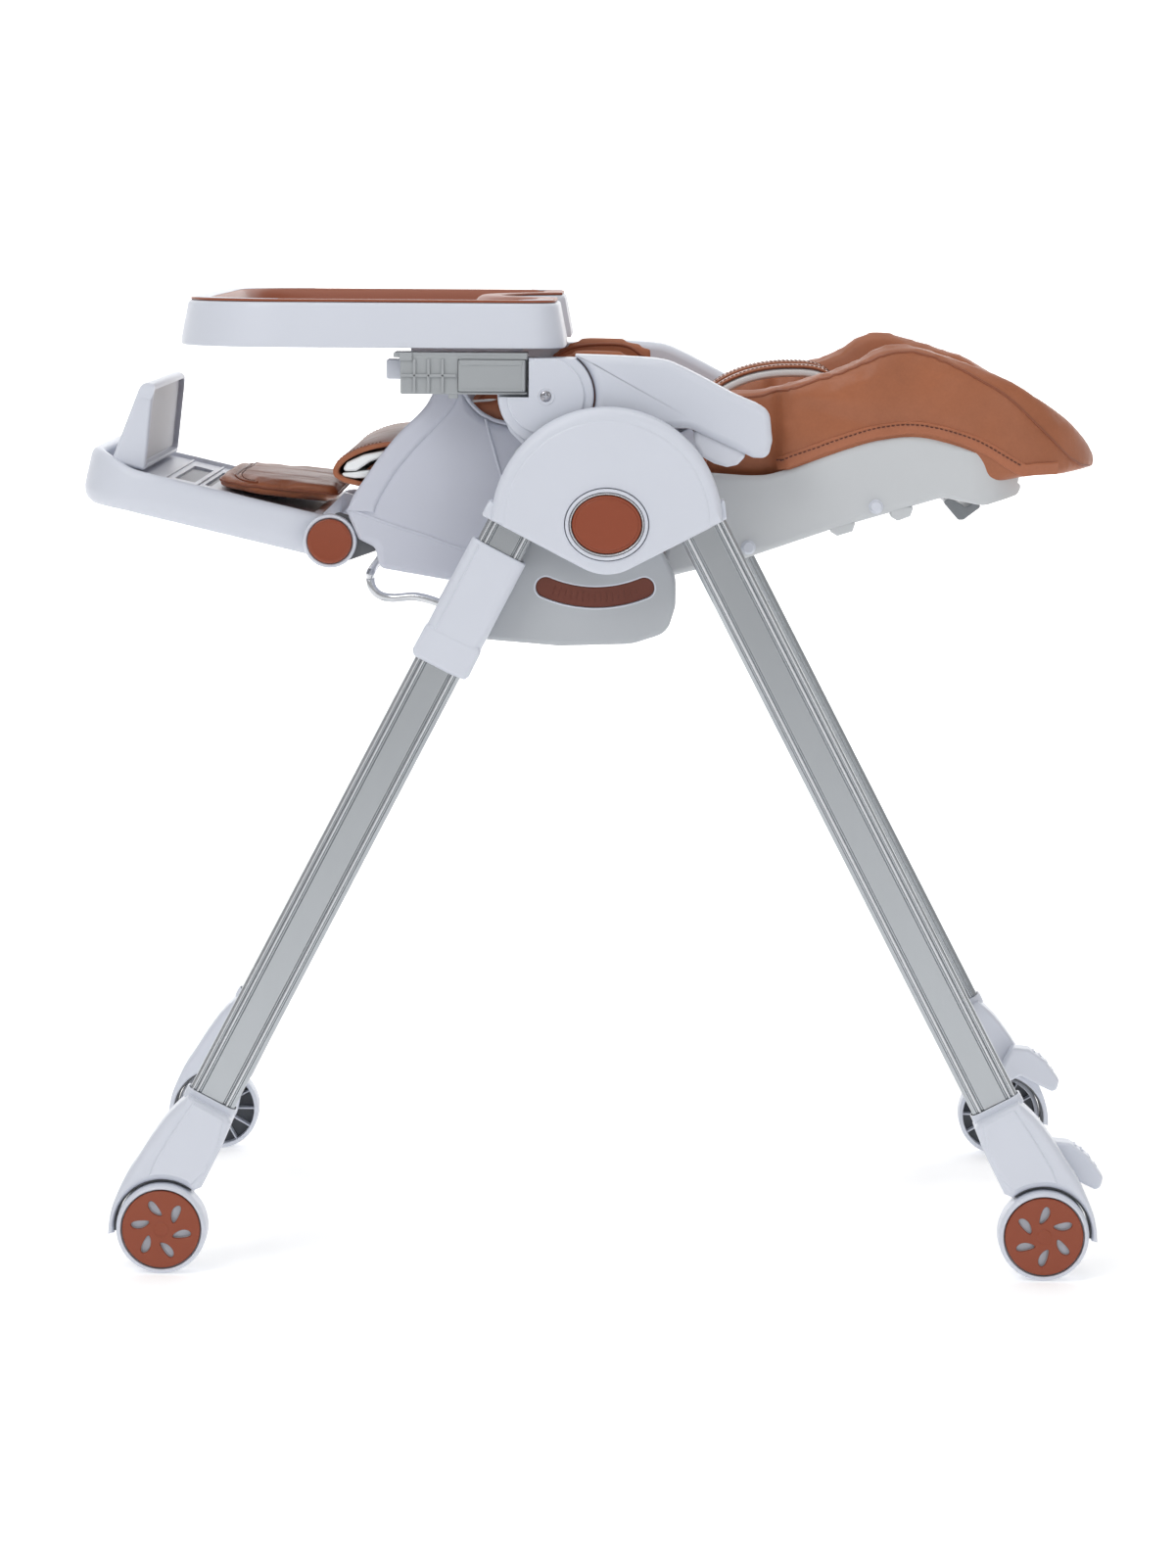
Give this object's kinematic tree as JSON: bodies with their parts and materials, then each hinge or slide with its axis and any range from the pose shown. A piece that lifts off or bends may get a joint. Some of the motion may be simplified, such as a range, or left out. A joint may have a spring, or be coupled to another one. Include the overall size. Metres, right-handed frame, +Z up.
{
  "type": "baby high chair",
  "caption": "Folding baby high chair with a reclining seat, height-adjustable carriage, hinged footrest, sliding tray and four wheels, the rear pair with brake pedals.",
  "frame": {"origin": "centre of the footprint on the floor, under the open chair", "axes": "+Z up, -Y the way the sitter looks, +X to the sitter's left"},
  "size_m": [0.6, 0.8928, 0.836],
  "materials": {
    "white_plastic": "gloss",
    "shell_plastic": "satin",
    "bracket_plastic": "satin",
    "dark_plastic": "satin",
    "brown_plastic": "satin",
    "leatherette": "satin",
    "webbing": "matte",
    "anodised_tube": "satin"
  },
  "bodies": {
    "front_frame": {"front_leg_left": "anodised_tube", "front_leg_right": "anodised_tube", "front_foot_left": "white_plastic", "front_foot_right": "white_plastic", "front_crossbar": "anodised_tube", "hub_cover_left": "white_plastic", "hub_cover_right": "white_plastic", "hub_axle_left": "anodised_tube", "hub_axle_right": "anodised_tube"},
    "rear_frame": {"rear_leg_left": "anodised_tube", "rear_leg_right": "anodised_tube", "rear_foot_left": "white_plastic", "rear_foot_right": "white_plastic", "rear_crossbar": "anodised_tube", "rear_hub_left": "white_plastic", "rear_hub_right": "white_plastic"},
    "seat": {"leg_sleeve_left": "white_plastic", "leg_sleeve_right": "white_plastic", "side_bracket_left": "bracket_plastic", "side_bracket_right": "bracket_plastic", "under_seat_rod": "anodised_tube", "seat_shell": "shell_plastic", "seat_cushion": "leatherette", "crotch_strap": "webbing", "arm_hub_left": "white_plastic", "arm_hub_right": "white_plastic"},
    "backrest": {"backrest_shell": "bracket_plastic", "backrest_cushion": "leatherette", "shoulder_strap_left": "webbing", "shoulder_strap_right": "webbing"},
    "recline_lever": {"recline_lever": "dark_plastic"},
    "footrest": {"footrest": "white_plastic", "calf_pad": "leatherette"},
    "foot_plate": {"foot_plate": "bracket_plastic"},
    "tray": {"tray": "white_plastic", "tray_rail_left": "bracket_plastic", "tray_rail_right": "bracket_plastic"},
    "tray_insert": {"tray_insert": "brown_plastic"},
    "front_wheel_left": {"front_wheel_left": "white_plastic", "front_wheel_cap_left": "brown_plastic"},
    "rear_wheel_left": {"rear_wheel_left": "white_plastic", "rear_wheel_cap_left": "brown_plastic"},
    "brake_left": {"brake_pedal_left": "white_plastic"},
    "fold_button_left": {"fold_button_left": "brown_plastic"},
    "height_trigger_left": {"height_trigger_left": "brown_plastic"},
    "footrest_button_left": {"footrest_button_left": "brown_plastic"},
    "tray_release_left": {"tray_release_left": "bracket_plastic"},
    "armrest_left": {"armrest_left": "white_plastic"},
    "armrest_lever_left": {"armrest_lever_left": "bracket_plastic"},
    "front_wheel_right": {"front_wheel_right": "white_plastic", "front_wheel_cap_right": "brown_plastic"},
    "rear_wheel_right": {"rear_wheel_right": "white_plastic", "rear_wheel_cap_right": "brown_plastic"},
    "brake_right": {"brake_pedal_right": "white_plastic"},
    "fold_button_right": {"fold_button_right": "brown_plastic"},
    "height_trigger_right": {"height_trigger_right": "brown_plastic"},
    "footrest_button_right": {"footrest_button_right": "brown_plastic"},
    "tray_release_right": {"tray_release_right": "bracket_plastic"},
    "armrest_right": {"armrest_right": "white_plastic"},
    "armrest_lever_right": {"armrest_lever_right": "bracket_plastic"}
  },
  "joints": [
    {"name": "fold", "type": "hinge", "parent": "front_frame", "child": "rear_frame", "pos_m": [0, 0.0145, 0.647], "axis": [-1, 0, 0], "range_deg": [0, 54.5]},
    {"name": "seat_height", "type": "slide", "parent": "front_frame", "child": "seat", "axis": [0, -0.4602, -0.8878], "range_m": [0, 0.24]},
    {"name": "recline", "type": "hinge", "parent": "seat", "child": "backrest", "pos_m": [0, 0.0545, 0.64], "axis": [1, 0, 0], "range_deg": [0, 50]},
    {"name": "recline_lever_pull", "type": "hinge", "parent": "backrest", "child": "recline_lever", "pos_m": [0, 0.3145, 0.656], "axis": [-1, 0, 0], "range_deg": [0, 12], "stiffness_Nm_per_rad": 2},
    {"name": "footrest_tilt", "type": "hinge", "parent": "seat", "child": "footrest", "pos_m": [0, -0.2265, 0.624], "axis": [1, 0, 0], "range_deg": [0, 75]},
    {"name": "foot_plate_reach", "type": "slide", "parent": "footrest", "child": "foot_plate", "axis": [0, 0.974, -0.2267], "range_m": [0, 0.038]},
    {"name": "tray_slide", "type": "slide", "parent": "seat", "child": "tray", "axis": [0, -1, 0], "range_m": [0, 0.07]},
    {"name": "tray_insert_lift", "type": "slide", "parent": "tray", "child": "tray_insert", "axis": [0, 0, 1], "range_m": [0, 0.05]},
    {"name": "front_wheel_left_spin", "type": "hinge", "parent": "front_frame", "child": "front_wheel_left", "pos_m": [0.287, -0.3645, 0.039], "axis": [1, 0, 0], "continuous": true},
    {"name": "rear_wheel_left_spin", "type": "hinge", "parent": "rear_frame", "child": "rear_wheel_left", "pos_m": [0.287, 0.3935, 0.039], "axis": [1, 0, 0], "continuous": true},
    {"name": "brake_left_press", "type": "hinge", "parent": "rear_frame", "child": "brake_left", "pos_m": [0.24, 0.3985, 0.092], "axis": [-1, 0, 0], "range_deg": [0, 14]},
    {"name": "fold_button_left_press", "type": "slide", "parent": "front_frame", "child": "fold_button_left", "axis": [-1, 0, 0], "range_m": [0, 0.004], "stiffness_N_per_m": 700},
    {"name": "height_trigger_left_press", "type": "slide", "parent": "seat", "child": "height_trigger_left", "axis": [-1, 0, 0], "range_m": [0, 0.003], "stiffness_N_per_m": 700},
    {"name": "footrest_button_left_press", "type": "slide", "parent": "seat", "child": "footrest_button_left", "axis": [-1, 0, 0], "range_m": [0, 0.003], "stiffness_N_per_m": 600},
    {"name": "tray_release_left_press", "type": "slide", "parent": "tray", "child": "tray_release_left", "axis": [-1, 0, 0], "range_m": [0, 0.004], "stiffness_N_per_m": 600},
    {"name": "armrest_left_tilt", "type": "hinge", "parent": "seat", "child": "armrest_left", "pos_m": [0.225, -0.0385, 0.753], "axis": [-1, 0, 0], "range_deg": [0, 25]},
    {"name": "armrest_lever_left_press", "type": "slide", "parent": "armrest_left", "child": "armrest_lever_left", "axis": [0, 0, 1], "range_m": [0, 0.004], "stiffness_N_per_m": 400},
    {"name": "front_wheel_right_spin", "type": "hinge", "parent": "front_frame", "child": "front_wheel_right", "pos_m": [-0.287, -0.3645, 0.039], "axis": [1, 0, 0], "continuous": true},
    {"name": "rear_wheel_right_spin", "type": "hinge", "parent": "rear_frame", "child": "rear_wheel_right", "pos_m": [-0.287, 0.3935, 0.039], "axis": [1, 0, 0], "continuous": true},
    {"name": "brake_right_press", "type": "hinge", "parent": "rear_frame", "child": "brake_right", "pos_m": [-0.24, 0.3985, 0.092], "axis": [-1, 0, 0], "range_deg": [0, 14]},
    {"name": "fold_button_right_press", "type": "slide", "parent": "front_frame", "child": "fold_button_right", "axis": [1, 0, 0], "range_m": [0, 0.004], "stiffness_N_per_m": 700},
    {"name": "height_trigger_right_press", "type": "slide", "parent": "seat", "child": "height_trigger_right", "axis": [1, 0, 0], "range_m": [0, 0.003], "stiffness_N_per_m": 700},
    {"name": "footrest_button_right_press", "type": "slide", "parent": "seat", "child": "footrest_button_right", "axis": [1, 0, 0], "range_m": [0, 0.003], "stiffness_N_per_m": 600},
    {"name": "tray_release_right_press", "type": "slide", "parent": "tray", "child": "tray_release_right", "axis": [1, 0, 0], "range_m": [0, 0.004], "stiffness_N_per_m": 600},
    {"name": "armrest_right_tilt", "type": "hinge", "parent": "seat", "child": "armrest_right", "pos_m": [-0.225, -0.0385, 0.753], "axis": [-1, 0, 0], "range_deg": [0, 25]},
    {"name": "armrest_lever_right_press", "type": "slide", "parent": "armrest_right", "child": "armrest_lever_right", "axis": [0, 0, 1], "range_m": [0, 0.004], "stiffness_N_per_m": 400}
  ]
}
